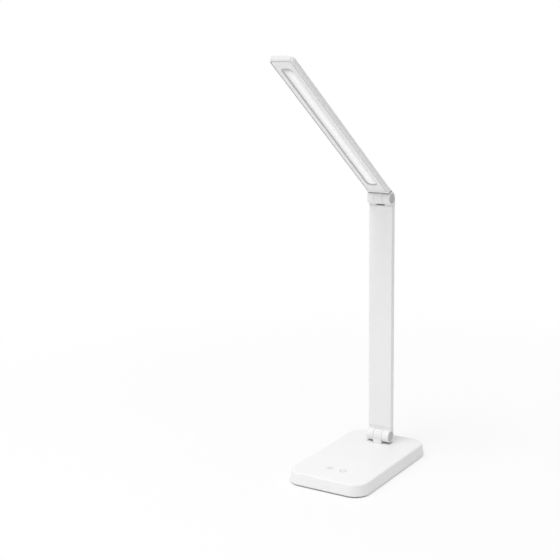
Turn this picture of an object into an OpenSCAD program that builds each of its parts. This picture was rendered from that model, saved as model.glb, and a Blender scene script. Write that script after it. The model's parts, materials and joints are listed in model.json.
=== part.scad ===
// Folding desk lamp: a weighted base, one arm and a flat light bar, joined by two pin hinges.
// X runs along the hinge pins, the touch keys are towards -Y, and Z is up.
// The origin is on the table, under the middle of the base. Lengths are in millimetres.
// Each hinge part is drawn about its own pin, with Z along the arm or the light bar and +Y to the back.

/* [Base] */
// Width of the base, side to side
base_w = 94; // [84:1:110]
// Length of the base, front to back
base_l = 158; // [146:1:180]
// Height of the base's top above the table
base_h = 14.2; // [13:0.2:18]
// Radius of the base's corners, seen from above
base_corner = 18; // [14:1:24]
// How far the base's sides lean in towards the top
base_draft = 1.5; // [0.4:0.1:2.4]
// Radius of the base's top edge
base_edge = 2; // [1:0.1:2.6]
// Thickness of the base cover's top
cover_wall = 2; // [1.6:0.1:2.6]
// Thickness of the base cover's sides, at the top
side_wall = 1.8; // [1.4:0.1:2.4]
// Thickness of the cover's lip round the base plate
lip_wall = 1.6; // [1.2:0.1:2]
// Gap between the base's rim and the table
rim_lift = 1.6; // [1:0.1:2]
// Thickness of the base plate
plate_t = 2; // [1.8:0.1:3]
// Depth of the base plate's recess for the anti-slip pad
pad_sink = 0.6; // [0.4:0.1:0.8]
// Width of the anti-slip pad
pad_w = 60; // [50:1:62]
// Length of the anti-slip pad
pad_l = 120; // [100:1:124]
// Thickness of the ballast plate
ballast_t = 3; // [2:0.1:3.6]

/* [Hinges] */
// Height of the lower pin above the base's top
hinge_lift = 8; // [7.8:0.1:12]
// Distance of the lower pin behind the middle of the base
hinge_back = 50; // [44:1:56]
// Diameter of the hinge barrels
barrel_d = 14; // [12:0.1:15]
// Length of a hinge's middle knuckle
knuckle_w = 10; // [8:0.1:12]
// Diameter of a hinge pin
pin_d = 4; // [3:0.1:4.4]
// Gap between the lower middle knuckle and the hollow it turns in
lower_gap = 0.3; // [0.25:0.05:0.8]
// Gap between the upper middle knuckle and the hollow it turns in
upper_gap = 0.7; // [0.25:0.05:0.8]
// Thickness of a friction washer
washer_t = 0.5; // [0.3:0.1:0.8]
// Diameter of a hinge cap
cap_d = 10.4; // [9:0.1:11]
// Thickness of a hinge cap's disc
cap_t = 0.6; // [0.4:0.1:1]
// Width across the flats of a hinge nut
nut_af = 6.4; // [5.5:0.1:6.6]
// Thickness of a hinge nut and of a pin's head
nut_t = 2; // [1.6:0.1:2.4]

/* [Arm] */
// Distance from the lower pin to the upper pin
arm_l = 268; // [220:1:300]
// Width of the arm
arm_w = 28; // [26:0.1:34]
// How far the arm's front face lies in front of the pins
arm_front = 0.8; // [0.4:0.1:1.2]
// How far the arm's back face lies behind the pins
arm_back = 6; // [5:0.1:6.8]
// Wall of the arm's tube
tube_wall = 1.2; // [1:0.1:1.5]
// Radius of the tube's long edges
tube_edge = 0.8; // [0.4:0.1:1]
// Bare length of the lower yoke above its pin
lower_yoke_l = 9.6; // [8.4:0.1:14]
// Bare length of the upper yoke below its pin
upper_yoke_l = 8.5; // [8.4:0.1:14]
// Length of a yoke's plug inside the tube
yoke_plug_l = 16; // [12:1:24]

/* [Light bar] */
// Length of the light bar from the upper pin to its tip
head_l = 250; // [200:1:252]
// Width of the light bar
head_w = 26; // [24:0.1:32]
// How far the light bar's outer face lies behind the upper pin
head_back = 6.6; // [6:0.1:6.8]
// Angle of the light bar above level
head_rise = 37; // [0:1:85]
// Room between the arm and the light bar when it is folded flat
fold_gap = 0.4; // [0.3:0.1:0.6]
// Length of the light bar's hinge block from the upper pin to its seam
block_l = 12; // [10:0.1:16]
// Thickness of the shell's outer face
shell_wall = 1; // [0.8:0.1:1.2]
// Thickness of the shell's sides
shell_side = 1.8; // [1.2:0.1:2]
// Radius of the light bar's corners at its tip
tip_corner = 5; // [3:0.1:8]
// Thickness of the bezel round the window
bezel_t = 1.2; // [0.8:0.1:1.4]
// Width of the window
window_w = 13; // [10:0.1:15]
// Radius of the window's corners
window_corner = 5; // [3:0.1:6]
// How far the window's edge slopes in through the bezel
window_flare = 1; // [0.4:0.1:1.4]
// Distance from the hinge block's seam to the window
window_gap = 12; // [11:0.1:18]
// Distance from the window to the light bar's tip
window_end = 13; // [10:0.1:20]
// How far the diffuser reaches behind the bezel
diffuser_lap = 3; // [2:0.1:3.2]
// Thickness of the diffuser
diffuser_t = 1; // [0.8:0.1:1.2]
// Thickness of the lamp board
lamp_board_t = 0.8; // [0.6:0.1:1]
// Width of the lamp board
lamp_board_w = 10; // [8:0.1:14]
// Number of light-emitting diodes
led_count = 28; // [12:1:28]

/* [Electronics] */
// Width of the battery pack
battery_w = 46; // [36:1:48]
// Length of the battery pack
battery_l = 60; // [40:1:62]
// Room above the battery pack
battery_room = 0.8; // [0.4:0.1:1.2]
// Width of the control board
board_w = 52; // [46:1:56]
// Length of the control board
board_l = 36; // [32:1:38]
// Thickness of the control board
board_t = 1.2; // [0.8:0.1:1.6]
// Distance of the touch keys in front of the middle of the base
key_front = 48; // [44:0.5:52]
// Distance of each touch key from the middle line
key_side = 8; // [7:0.1:10]
// Radius of a key's mark
mark_r = 4; // [3:0.1:4.4]
// Line width of a key's mark
mark_line = 0.7; // [0.5:0.1:0.9]
// Depth of the inlaid marks
mark_t = 0.4; // [0.3:0.1:0.6]
// Radius of a touch pad under a key
touch_r = 5.2; // [4:0.1:6]
// Height of a touch pad, and so of the room above the control board
touch_h = 1.8; // [1.5:0.1:2]
// Width of the power socket's mouth
socket_w = 8.9; // [8.9:0.1:9.2]
// Height of the power socket's mouth
socket_h = 3.2; // [3.2:0.1:3.4]
// Length of the power socket
socket_l = 7.4; // [7:0.1:8]

/* [Screws] */
// Diameter of the screws that close the base
base_screw_d = 2.6; // [2:0.1:3]
// Diameter of the screws that hold the hinge neck
neck_screw_d = 3; // [2.5:0.1:3.2]
// Diameter of the screws that hold the yokes
yoke_screw_d = 2; // [1.8:0.1:2.2]

/* [Fits] */
// Clearance between pieces that fit into each other
slip = 0.15; // [0.1:0.05:0.2]
// Radial clearance of a pin or screw in its bore
pin_fit = 0.05; // [0.02:0.01:0.08]
// Gap on each side of a middle knuckle
side_gap = 0.15; // [0.12:0.01:0.2]
// Gap between a barrel and the piece that swings round it
sweep_gap = 0.3; // [0.25:0.05:0.4]

/* [Hidden] */
$fn = 64;
hull_fn = 48;
past = 1; // how far a cutting shape runs past the face that it opens
thin = 0.01; // height of a slice that a hull is stretched over

// Levels in the base, from the table up
plate_bottom = rim_lift;
plate_top = rim_lift + plate_t;
ballast_top = plate_top + ballast_t;
inner_top = base_h - cover_wall;
edge_start = base_h - base_edge;

// Inside of the base cover
inner_w = base_w - 2 * (base_draft + side_wall);
inner_l = base_l - 2 * (base_draft + side_wall);
inner_corner = base_corner - base_draft - side_wall;
lip_w = base_w - 2 * lip_wall;
lip_l = base_l - 2 * lip_wall;
lip_corner = base_corner - lip_wall;
boss_r = base_screw_d / 2 + 1.9;
boss_x = inner_w / 2 - inner_corner / 2;
boss_y = inner_l / 2 - inner_corner / 2;
base_head_r = base_screw_d / 2 + 1.1;
base_head_t = plate_t / 2;
ballast_w = 2 * (boss_x - boss_r - 0.8);
ballast_end_gap = 4.5;
ballast_l = inner_l - 2 * ballast_end_gap;
ballast_corner = 4;

// Control board, which hangs from posts under the cover
board_top = inner_top - touch_h;
board_y = -key_front - 1.5;
board_corner = 2;
post_x = board_w / 2 - 4;
post_y = board_l / 2 - 4;
post_pin_r = 1.1;
post_r = 2;
chip_t = touch_h - 0.6;
chip_w = 6;
chip_pitch = 11;
main_chip_l = 4;

// Power socket, which lies on its own board at the back
socket_board_t = 1;
socket_board_w = 20;
socket_z = ballast_top + socket_board_t + socket_h / 2;
socket_skin = 0.3;
outer_back = base_l / 2 - base_draft * (socket_z - rim_lift) / (edge_start - rim_lift);
socket_mouth_y = outer_back - 0.3;

// Lower hinge and its neck
barrel_r = barrel_d / 2;
pin_r = pin_d / 2;
axis_z = base_h + hinge_lift;
neck_block_w = 34;
neck_block_l = barrel_d + 10;
neck_screw_x = 11;
neck_screw_y = 8;
neck_screw_tip = inner_top - 1.2;
neck_head_r = neck_screw_d / 2 + 1.3;
neck_head_t = 1.4;
duct_w = 5;
duct_y = pin_r + pin_fit + 0.4;
duct_t = 1.5;
cable_w = 3;
cable_t = 0.8;
battery_y = (hinge_back - neck_block_l / 2 + board_y + board_l / 2) / 2;
run_x = max(battery_w / 2 + 0.5, board_w / 2 - 2);
run_y = board_y + board_l / 4;

// Hinge hardware, along a pin from the middle outwards
ear_in = knuckle_w / 2 + side_gap;
ear_out = arm_w / 2 - 0.8;
washer_side = 0.05;
washer_in = knuckle_w / 2 + washer_side;
washer_seat = washer_in + washer_t;
washer_r = barrel_r - 1;
seat_x = ear_out - nut_t - 1.8;
counter_r = nut_af / sqrt(3) + 0.1;
pin_head_r = counter_r - 0.2;
cap_r = cap_d / 2;
cap_spigot = 1.2;

// Arm
upper_z = axis_z + arm_l;
arm_t = arm_front + arm_back;
tube_inner_w = arm_w - 2 * tube_wall;
tube_inner_front = -arm_front + tube_wall;
tube_inner_back = arm_back - tube_wall;
tube_start = lower_yoke_l;
tube_end = arm_l - upper_yoke_l;
yoke_screw_x = arm_w / 2 - 4.5;
yoke_screw_z = yoke_plug_l / 2;
yoke_head_r = yoke_screw_d / 2 + 1;
yoke_head_t = tube_wall - 0.2;

// Light bar, from its lit face outwards
head_under = arm_front + fold_gap;
shell_inner = head_back - shell_wall;
bezel_back = head_under + bezel_t;
diffuser_back = bezel_back + diffuser_t;
board_face = shell_inner - lamp_board_t;
cavity_w = head_w - 2 * shell_side;
cavity_end = head_l - shell_side;
window_start = block_l + window_gap;
window_l = head_l - window_start - window_end;
block_plug_l = window_gap - diffuser_lap - 1;
window_mid = window_start + window_l / 2;
diffuser_w = window_w + 2 * diffuser_lap;
diffuser_l = window_l + 2 * diffuser_lap;
slot_start = barrel_r - 0.6;
head_duct_y = board_face - duct_t;
slot_w = 1;
slot_t = 1.2;
led_w = 3.5;
led_h = 2.8;
led_t = board_face - diffuser_back - 0.3;
led_margin = 4;
led_pitch = (window_l - 2 * led_margin) / led_count;

// A flat outline with round corners, about the origin
module round_rect(w, l, r) {
    square([w - 2 * r, l], center = true);
    square([w, l - 2 * r], center = true);
    for (x = [-1, 1], y = [-1, 1])
        translate([x * (w / 2 - r), y * (l / 2 - r)]) circle(r);
}

// A box between two corners
module block(low, high) {
    translate(low) cube(high - low);
}

// A cylinder along X about a hinge pin
module rod(r, x0, x1, fn = $fn) {
    translate([x0, 0, 0]) rotate([0, 90, 0]) cylinder(r = r, h = x1 - x0, $fn = fn);
}

// What is drawn once is made again on the other side
module both_sides() {
    children();
    mirror([1, 0, 0]) children();
}

module at_lower_pin() {
    translate([0, hinge_back, axis_z]) children();
}

module at_upper_pin() {
    translate([0, hinge_back, upper_z]) children();
}

// The light bar is drawn straight up, then leans forward to its rest angle
module on_head() {
    at_upper_pin() rotate([90 - head_rise, 0, 0]) children();
}

// How far the cover's outside lies inside its foot at a height
function cover_inset(z) = base_draft * (z - rim_lift) / (edge_start - rim_lift);

module cover_slice(z, inset) {
    for (x = [-1, 1], y = [-1, 1])
        translate([x * (base_w / 2 - base_corner), y * (base_l / 2 - base_corner), z - thin])
            cylinder(r = base_corner - inset, h = thin, $fn = hull_fn);
}

module cover_outside() {
    hull() {
        cover_slice(rim_lift + thin, 0);
        for (a = [0 : 22.5 : 90])
            cover_slice(edge_start + base_edge * sin(a), base_draft + base_edge * (1 - cos(a)));
    }
}

// The two key marks: a sun on the left and a power sign on the right
module sun_mark() {
    core = mark_r * 0.36;
    ray = mark_r * 0.3;
    difference() {
        circle(core + mark_line / 2);
        circle(core - mark_line / 2);
    }
    for (i = [0 : 7])
        rotate(i * 45) translate([mark_r - ray, -mark_line / 2]) square([ray, mark_line]);
}

module power_mark() {
    gap = mark_r * 0.75;
    difference() {
        circle(mark_r - mark_line / 2);
        circle(mark_r - mark_line * 1.5);
        translate([-gap / 2, 0]) square([gap, mark_r + past]);
    }
    translate([-mark_line / 2, mark_line / 2]) square([mark_line, mark_r - mark_line / 2]);
}

module key_marks_outline() {
    translate([-key_side, -key_front]) sun_mark();
    translate([key_side, -key_front]) power_mark();
}

module at_bosses() {
    for (x = [-1, 1], y = [-1, 1]) translate([x * boss_x, y * boss_y, 0]) children();
}

module at_posts() {
    for (x = [-1, 1], y = [-1, 1]) translate([x * post_x, board_y + y * post_y, 0]) children();
}

module base_cover() {
    color("white") difference() {
        union() {
            difference() {
                cover_outside();
                translate([0, 0, rim_lift - past])
                    linear_extrude(inner_top - rim_lift + past) round_rect(inner_w, inner_l, inner_corner);
                translate([0, 0, rim_lift - past])
                    linear_extrude(plate_t + past) round_rect(lip_w, lip_l, lip_corner);
            }
            at_bosses() translate([0, 0, plate_top])
                cylinder(r = boss_r, h = inner_top - plate_top + cover_wall / 2);
            at_posts() {
                translate([0, 0, board_top]) cylinder(r = post_r, h = touch_h + cover_wall / 2);
                translate([0, 0, board_top - board_t]) cylinder(r = post_pin_r, h = board_t + touch_h);
            }
        }
        at_bosses() translate([0, 0, plate_top - past])
            cylinder(r = base_screw_d / 2 + pin_fit, h = inner_top - plate_top + past);
        block([-knuckle_w / 2 - slip, hinge_back - barrel_r - slip, inner_top - past],
            [knuckle_w / 2 + slip, hinge_back + barrel_r + slip, base_h + past]);
        translate([0, outer_back + past, socket_z]) rotate([90, 0, 0])
            linear_extrude(base_draft + side_wall + 2 * past)
                round_rect(socket_w + 2 * slip, socket_h + 2 * slip, socket_h / 2 + slip - thin);
        translate([0, 0, base_h - mark_t]) linear_extrude(mark_t + past) key_marks_outline();
    }
}

module key_marks() {
    color("silver") translate([0, 0, base_h - mark_t]) linear_extrude(mark_t) key_marks_outline();
}

module base_plate() {
    color("whitesmoke") difference() {
        translate([0, 0, plate_bottom]) linear_extrude(plate_t)
            round_rect(lip_w - 2 * slip, lip_l - 2 * slip, lip_corner - slip);
        translate([0, 0, plate_bottom - past]) linear_extrude(pad_sink + past)
            round_rect(pad_w + 2 * slip, pad_l + 2 * slip, ballast_corner + slip);
        at_bosses() {
            translate([0, 0, plate_bottom - past])
                cylinder(r = base_screw_d / 2 + pin_fit, h = plate_t + 2 * past);
            translate([0, 0, plate_bottom - past]) cylinder(r = base_head_r + slip, h = base_head_t + past);
        }
    }
}

module anti_slip_pad() {
    color("dimgray") linear_extrude(rim_lift + pad_sink) round_rect(pad_w, pad_l, ballast_corner);
}

module base_screws() {
    color("silver") at_bosses() {
        translate([0, 0, plate_bottom]) cylinder(r = base_head_r, h = base_head_t);
        translate([0, 0, plate_bottom]) cylinder(r = base_screw_d / 2, h = inner_top - plate_bottom - past);
    }
}

module at_neck_screws() {
    for (x = [-1, 1], y = [-1, 1])
        translate([x * neck_screw_x, hinge_back + y * neck_screw_y, plate_top]) children();
}

module ballast_plate() {
    color("gray") difference() {
        translate([0, 0, plate_top]) linear_extrude(ballast_t)
            round_rect(ballast_w, ballast_l, ballast_corner);
        at_neck_screws() {
            translate([0, 0, -past]) cylinder(r = neck_screw_d / 2 + pin_fit, h = ballast_t + 2 * past);
            cylinder(r1 = neck_head_r + pin_fit, r2 = neck_screw_d / 2 + pin_fit, h = neck_head_t);
        }
    }
}

module neck_screws() {
    color("silver") at_neck_screws() {
        cylinder(r1 = neck_head_r, r2 = neck_screw_d / 2, h = neck_head_t);
        cylinder(r = neck_screw_d / 2, h = neck_screw_tip - plate_top);
    }
}

module battery_pack() {
    color("lightgray") translate([0, battery_y, ballast_top])
        linear_extrude(inner_top - battery_room - ballast_top) round_rect(battery_w, battery_l, 2);
}

module control_board() {
    color("seagreen") difference() {
        translate([0, board_y, board_top - board_t]) linear_extrude(board_t)
            round_rect(board_w, board_l, board_corner);
        at_posts() translate([0, 0, board_top - board_t - past])
            cylinder(r = post_pin_r + slip, h = board_t + 2 * past);
    }
}

module board_parts() {
    back_row = board_y + board_l / 2 - 3;
    front_row = board_y - board_l / 2 + 5;
    color("darkslategray") {
        block([-chip_w / 2, back_row - main_chip_l / 2, board_top],
            [chip_w / 2, back_row + main_chip_l / 2, board_top + chip_t]);
        for (x = [-chip_pitch, 0, chip_pitch])
            translate([x, front_row, board_top])
                block([-chip_w / 2, -chip_w / 2, 0], [chip_w / 2, chip_w / 2, chip_t]);
    }
}

module touch_pads() {
    color("goldenrod") for (x = [-1, 1])
        translate([x * key_side, -key_front, board_top])
            cylinder(r = min(touch_r, key_side - 1), h = touch_h);
}

module socket_board() {
    front = hinge_back + neck_block_l / 2 + 1;
    color("seagreen") block([-socket_board_w / 2, front, ballast_top],
        [socket_board_w / 2, inner_l / 2 - slip, ballast_top + socket_board_t]);
}

module socket_outline(inset) {
    round_rect(socket_w - 2 * inset, socket_h - 2 * inset, socket_h / 2 - inset - thin);
}

module power_socket() {
    color("silver") translate([0, socket_mouth_y, socket_z]) rotate([90, 0, 0]) difference() {
        linear_extrude(socket_l) socket_outline(0);
        translate([0, 0, -past]) linear_extrude(socket_l + past - 1) socket_outline(socket_skin);
    }
}

module socket_tongue() {
    half_w = socket_w / 2 - 1.1;
    half_h = 0.35;
    color("black") translate([0, socket_mouth_y, socket_z])
        block([-half_w, 1 - socket_l, -half_h], [half_w, -socket_skin - 0.4, half_h]);
}

module hinge_neck() {
    color("white") translate([0, hinge_back, 0]) difference() {
        union() {
            block([-neck_block_w / 2, -neck_block_l / 2, ballast_top],
                [neck_block_w / 2, neck_block_l / 2, inner_top]);
            block([-knuckle_w / 2, -barrel_r, ballast_top], [knuckle_w / 2, barrel_r, axis_z]);
            translate([0, 0, axis_z]) rod(barrel_r, -knuckle_w / 2, knuckle_w / 2);
        }
        translate([0, 0, axis_z]) rod(pin_r + pin_fit, -knuckle_w, knuckle_w);
        block([-duct_w / 2, duct_y, ballast_top - past], [duct_w / 2, duct_y + duct_t, axis_z + barrel_d]);
        block([-duct_w / 2, duct_y + duct_t - cable_w - slip, ballast_top - past],
            [neck_block_w, duct_y + duct_t, ballast_top + cable_t + slip]);
        for (x = [-1, 1], y = [-1, 1]) translate([x * neck_screw_x, y * neck_screw_y, ballast_top - past])
            cylinder(r = neck_screw_d / 2 + pin_fit, h = neck_screw_tip - ballast_top + past);
    }
}

// A flat cable on the ballast plate, from under the control board to y1, then sideways to x1
module floor_cable(x1, y1) {
    block([run_x, run_y, ballast_top], [run_x + cable_w, run_y + cable_t, board_top - board_t]);
    block([run_x, run_y, ballast_top], [run_x + cable_w, y1, ballast_top + cable_t]);
    block([x1, y1 - cable_w, ballast_top], [run_x + cable_w, y1, ballast_top + cable_t]);
}

module base_cable() {
    back = hinge_back + duct_y + duct_t;
    color("dimgray") {
        floor_cable(-cable_w / 2, back);
        block([-cable_w / 2, back - cable_t, ballast_top], [cable_w / 2, back, axis_z + barrel_r / 2]);
    }
}

module power_cable() {
    color("dimgray") mirror([1, 0, 0])
        floor_cable(socket_board_w / 2, hinge_back + neck_block_l / 2 + 2 + cable_w);
}

module battery_lead() {
    color("dimgray") block([-cable_w / 2, board_y + board_l / 2 - 5, board_top - board_t - cable_t],
        [cable_w / 2, battery_y - battery_l / 2, board_top - board_t]);
}

// A yoke about its pin: two ears, a body of the arm's section with a hollow, and a plug for the tube
module yoke(bare_l, gap) {
    difference() {
        union() {
            both_sides() rod(barrel_r, ear_in, ear_out);
            block([-arm_w / 2, -arm_front, 0], [arm_w / 2, arm_back, bare_l]);
            block([-tube_inner_w / 2 + slip, tube_inner_front + slip, bare_l - past],
                [tube_inner_w / 2 - slip, tube_inner_back - slip, bare_l + yoke_plug_l]);
        }
        rod(barrel_r + gap, -ear_in, ear_in);
        both_sides() {
            rod(pin_r + pin_fit, 0, arm_w);
            rod(washer_r + slip, 0, washer_seat);
            rod(counter_r, seat_x, arm_w);
            rod(cap_r + sweep_gap, ear_out, arm_w);
            translate([yoke_screw_x, tube_inner_back + past, bare_l + yoke_screw_z]) rotate([90, 0, 0])
                cylinder(r = yoke_screw_d / 2 + pin_fit, h = arm_t);
        }
        block([-duct_w / 2, duct_y, 0], [duct_w / 2, duct_y + duct_t, bare_l + yoke_plug_l + past]);
    }
}

module hinge_pin() {
    rod(pin_r, -seat_x - nut_t, seat_x + nut_t / 2);
    rod(pin_head_r, seat_x, seat_x + nut_t);
}

module hinge_nut() {
    difference() {
        rod(nut_af / sqrt(3), -seat_x - nut_t, -seat_x, 6);
        rod(pin_r + pin_fit, -arm_w, 0);
    }
}

module hinge_washers() {
    both_sides() difference() {
        rod(washer_r, washer_in, washer_seat);
        rod(pin_r + pin_fit, 0, arm_w);
    }
}

module hinge_caps() {
    both_sides() {
        rod(cap_r, ear_out, ear_out + cap_t);
        rod(counter_r - slip, ear_out - cap_spigot, ear_out + cap_t / 2);
    }
}

module lower_yoke() {
    color("white") at_lower_pin() yoke(lower_yoke_l, lower_gap);
}

module upper_yoke() {
    color("white") at_upper_pin() mirror([0, 0, 1]) yoke(upper_yoke_l, upper_gap);
}

module lower_pin() {
    color("silver") at_lower_pin() hinge_pin();
}

module upper_pin() {
    color("silver") at_upper_pin() hinge_pin();
}

module lower_nut() {
    color("silver") at_lower_pin() hinge_nut();
}

module upper_nut() {
    color("silver") at_upper_pin() hinge_nut();
}

module lower_washers() {
    color("gray") at_lower_pin() hinge_washers();
}

module upper_washers() {
    color("gray") at_upper_pin() hinge_washers();
}

module lower_caps() {
    color("darkgray") at_lower_pin() hinge_caps();
}

module upper_caps() {
    color("darkgray") at_upper_pin() hinge_caps();
}

module at_yoke_screws() {
    for (x = [-1, 1], z = [tube_start + yoke_screw_z, tube_end - yoke_screw_z])
        translate([x * yoke_screw_x, arm_back, z]) rotate([90, 0, 0]) children();
}

module arm_tube() {
    mid_y = arm_back - arm_t / 2;
    color("white") at_lower_pin() difference() {
        translate([0, mid_y, tube_start]) linear_extrude(tube_end - tube_start)
            round_rect(arm_w, arm_t, tube_edge);
        block([-tube_inner_w / 2, tube_inner_front, tube_start - past],
            [tube_inner_w / 2, tube_inner_back, tube_end + past]);
        at_yoke_screws() {
            cylinder(r1 = yoke_head_r + pin_fit, r2 = yoke_screw_d / 2 + pin_fit, h = yoke_head_t);
            translate([0, 0, -past]) cylinder(r = yoke_screw_d / 2 + pin_fit, h = tube_wall + 2 * past);
        }
    }
}

module yoke_screws() {
    color("silver") at_lower_pin() at_yoke_screws() {
        cylinder(r1 = yoke_head_r, r2 = yoke_screw_d / 2, h = yoke_head_t);
        cylinder(r = yoke_screw_d / 2, h = arm_t - tube_wall - past);
    }
}

module arm_cable() {
    color("dimgray") at_lower_pin()
        block([-cable_w / 2, duct_y + duct_t - cable_t, barrel_r + lower_gap + slip],
            [cable_w / 2, duct_y + duct_t, arm_l - barrel_r - upper_gap - slip]);
}

// An outline in the light bar's plan, square at its start and round at its tip, as a slab from y0 to y1
module bar_slab(w, z0, z1, r, y0, y1) {
    translate([0, y1, 0]) rotate([90, 0, 0]) linear_extrude(y1 - y0) {
        translate([-w / 2, z0]) square([w, z1 - r - z0]);
        translate([-w / 2 + r, z0]) square([w - 2 * r, z1 - z0]);
        for (x = [-1, 1]) translate([x * (w / 2 - r), z1 - r]) circle(r);
    }
}

// A slab with four round corners along the light bar
module window_slab(w, l, r, y0, y1) {
    translate([0, y1, window_mid]) rotate([90, 0, 0]) linear_extrude(y1 - y0) round_rect(w, l, r);
}

// The window's opening, which narrows by its flare from the lit face to the bezel's back
module window_opening() {
    half_w = window_w / 2;
    half_l = window_l / 2;
    flare = min(window_flare, window_corner - 0.5);
    translate([0, head_under, window_mid]) rotate([-90, 0, 0]) {
        for (x = [-1, 1], y = [-1, 1])
            translate([x * (half_w - window_corner), y * (half_l - window_corner), 0])
                cylinder(r1 = window_corner, r2 = window_corner - flare, h = bezel_t);
        rotate([90, 0, 0]) linear_extrude(window_l - 2 * window_corner, center = true)
            polygon([[-half_w, 0], [half_w, 0], [half_w - flare, bezel_t], [flare - half_w, bezel_t]]);
        rotate([90, 0, 90]) linear_extrude(window_w - 2 * window_corner, center = true)
            polygon([[-half_l, 0], [half_l, 0], [half_l - flare, bezel_t], [flare - half_l, bezel_t]]);
    }
}

module head_block() {
    color("white") on_head() difference() {
        union() {
            difference() {
                block([-head_w / 2, head_under, 0], [head_w / 2, head_back, block_l]);
                both_sides() rod(barrel_r + sweep_gap, knuckle_w / 2, arm_w);
            }
            rod(barrel_r, -knuckle_w / 2, knuckle_w / 2);
            block([-cavity_w / 2 + slip, bezel_back + slip, block_l - past],
                [cavity_w / 2 - slip, shell_inner - slip, block_l + block_plug_l]);
        }
        rod(pin_r + pin_fit, -knuckle_w, knuckle_w);
        block([-duct_w / 2, head_duct_y, -barrel_d],
            [duct_w / 2, board_face, block_l + block_plug_l + past]);
        block([-knuckle_w / 2, head_back - slot_t, slot_start],
            [knuckle_w / 2, head_back + past, slot_start + slot_w]);
    }
}

module head_shell() {
    color("white") on_head() difference() {
        bar_slab(head_w, block_l, head_l, tip_corner, head_under, head_back);
        bar_slab(cavity_w, block_l - past, cavity_end, tip_corner - shell_side,
            head_under - past, shell_inner);
    }
}

module head_bezel() {
    color("white") on_head() difference() {
        bar_slab(cavity_w - 2 * slip, block_l, cavity_end - slip, tip_corner - shell_side - slip,
            head_under, bezel_back);
        window_opening();
        window_slab(window_w, window_l, window_corner, head_under - past, head_under);
    }
}

module diffuser() {
    color("ivory") on_head()
        window_slab(diffuser_w, diffuser_l, window_corner, bezel_back, diffuser_back);
}

module lamp_board() {
    color("white") on_head() block([-lamp_board_w / 2, board_face, window_start],
        [lamp_board_w / 2, shell_inner, window_start + window_l]);
}

module leds() {
    color("yellow") on_head() for (i = [0 : led_count - 1])
        translate([0, board_face - led_t / 2, window_start + led_margin + (i + 0.5) * led_pitch])
            cube([led_w, led_t, led_h], center = true);
}

module head_cable() {
    color("dimgray") on_head() block([-cable_w / 2, board_face - cable_t, -barrel_r / 2],
        [cable_w / 2, board_face, window_start + led_margin / 2]);
}

base_cover();
base_plate();
anti_slip_pad();
ballast_plate();
battery_pack();
control_board();
board_parts();
touch_pads();
key_marks();
socket_board();
power_socket();
socket_tongue();
base_screws();
hinge_neck();
neck_screws();
base_cable();
power_cable();
battery_lead();
lower_yoke();
lower_pin();
lower_nut();
lower_washers();
lower_caps();
arm_tube();
arm_cable();
yoke_screws();
upper_yoke();
upper_pin();
upper_nut();
upper_washers();
upper_caps();
head_block();
head_shell();
head_bezel();
diffuser();
lamp_board();
leds();
head_cable();
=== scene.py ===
import json

import bmesh
import bpy
import numpy as np
from mathutils import Matrix


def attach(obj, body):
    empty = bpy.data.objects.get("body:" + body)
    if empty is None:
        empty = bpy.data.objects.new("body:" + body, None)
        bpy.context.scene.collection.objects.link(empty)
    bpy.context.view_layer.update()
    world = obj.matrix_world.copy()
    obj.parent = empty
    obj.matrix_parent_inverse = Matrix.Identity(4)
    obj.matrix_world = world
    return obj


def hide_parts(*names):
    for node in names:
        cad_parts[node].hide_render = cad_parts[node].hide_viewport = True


# A folding desk lamp: lengths are in millimetres until a mesh is made, which is in metres.
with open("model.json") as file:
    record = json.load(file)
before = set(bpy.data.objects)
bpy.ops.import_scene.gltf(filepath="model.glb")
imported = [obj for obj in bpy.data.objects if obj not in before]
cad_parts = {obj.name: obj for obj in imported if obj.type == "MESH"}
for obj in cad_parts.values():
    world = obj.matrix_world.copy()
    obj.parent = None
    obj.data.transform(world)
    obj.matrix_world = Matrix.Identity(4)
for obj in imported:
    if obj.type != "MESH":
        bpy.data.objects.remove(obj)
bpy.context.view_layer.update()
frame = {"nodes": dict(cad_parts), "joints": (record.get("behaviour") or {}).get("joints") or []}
mm = 0.001
lowerPin, upperPin = (np.array(joint["pos_m"]) / mm for joint in frame["joints"])
hair = 0.01  # a corner's least radius, and the least length of a side
print("frame loaded:", len(frame["nodes"]), "nodes")

# The camera stands where the photograph was taken
cameraView = {
    "turn": 32.562,  # degrees round the lamp, from its front to its right
    "down": 12.457,
    "roll": -0.851,
    "focal": 1165.81,  # in pixels
    "frame": 560,  # pixels across
    "sensor": 36.0,
    "baseAt": (358.47, 467.44),  # the pixel under the middle of the base
    "distance": 1271.3,
    "clip": (0.05, 50),  # metres
}


def makeCamera(c):
    turn, down, roll = np.radians([c["turn"], c["down"], c["roll"]])
    forward = np.array([-np.sin(turn) * np.cos(down), np.cos(turn) * np.cos(down), -np.sin(down)])
    level = np.array([np.cos(turn), np.sin(turn), 0])
    rise = np.cross(level, forward)
    right = np.cos(roll) * level + np.sin(roll) * rise
    up = np.cos(roll) * rise - np.sin(roll) * level
    across, below = (np.array(c["baseAt"]) - c["frame"] / 2) / c["focal"]
    place = -c["distance"] * mm * (forward + across * right - below * up)
    data = bpy.data.cameras.new("Camera")
    data.sensor_fit = "HORIZONTAL"
    data.sensor_width = c["sensor"]
    data.lens = c["sensor"] * c["focal"] / c["frame"]
    data.clip_start, data.clip_end = c["clip"]
    camera = bpy.data.objects.new("Camera", data)
    bpy.context.scene.collection.objects.link(camera)
    pose = np.eye(4)
    pose[:3] = np.stack([right, up, -forward, place], 1)
    camera.matrix_world = Matrix(pose)
    bpy.context.scene.camera = camera


makeCamera(cameraView)


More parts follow.
